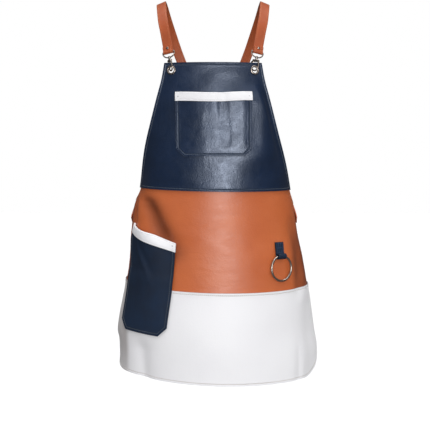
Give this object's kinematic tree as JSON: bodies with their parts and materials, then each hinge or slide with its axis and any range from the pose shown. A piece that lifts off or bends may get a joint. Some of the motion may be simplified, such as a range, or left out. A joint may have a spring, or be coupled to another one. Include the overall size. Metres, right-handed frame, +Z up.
{
  "type": "blacksmith apron",
  "caption": "Work apron with bib, waist panel and skirt of leather, chest and hip pockets, a tool ring, and straps crossed behind that hook to the bib.",
  "frame": {"origin": "midway between the two places where the straps lie on top of the shoulders", "axes": "+X to the right of someone who looks at the front, -Y to the front, +Z up"},
  "size_m": [0.4196, 0.2661, 0.7792],
  "materials": {
    "navy_leather": "waxed",
    "tan_leather": "smooth",
    "white_leather": "satin",
    "nickel": "antique nickel"
  },
  "bodies": {
    "apron": {"bib_panel": "navy_leather", "waist_panel": "tan_leather", "skirt_panel": "white_leather", "chest_pocket": "navy_leather", "chest_pocket_trim": "white_leather", "hip_pocket": "navy_leather", "hip_pocket_trim": "white_leather", "ring_tab": "navy_leather", "eyelet_left": "nickel", "hook_left": "nickel", "swivel_eye_left": "nickel", "strap_left": "tan_leather", "strap_rivet_left": "nickel", "strap_end_rivet_left": "nickel", "eyelet_right": "nickel", "hook_right": "nickel", "swivel_eye_right": "nickel", "strap_right": "tan_leather", "strap_rivet_right": "nickel", "strap_end_rivet_right": "nickel"},
    "ring": {"tool_ring": "nickel"},
    "gate_left": {"gate_left": "nickel"},
    "gate_right": {"gate_right": "nickel"}
  },
  "joints": [
    {"name": "ring_swing", "type": "hinge", "parent": "apron", "child": "ring", "pos_m": [0.13754, -0.0975, -0.51758], "axis": [-0.812, -0.5837, 0], "range_deg": [0, 100]},
    {"name": "gate_left_hinge", "type": "hinge", "parent": "apron", "child": "gate_left", "pos_m": [-0.08835, -0.08998, -0.12671], "axis": [-0.8946, -0.4375, -0.0909], "range_deg": [0, 18], "stiffness_Nm_per_rad": 0.002, "springref_deg": -8.59},
    {"name": "gate_right_hinge", "type": "hinge", "parent": "apron", "child": "gate_right", "pos_m": [0.08181, -0.09226, -0.12527], "axis": [-0.4155, -0.8889, 0.193], "range_deg": [0, 18], "stiffness_Nm_per_rad": 0.002, "springref_deg": -8.59}
  ]
}
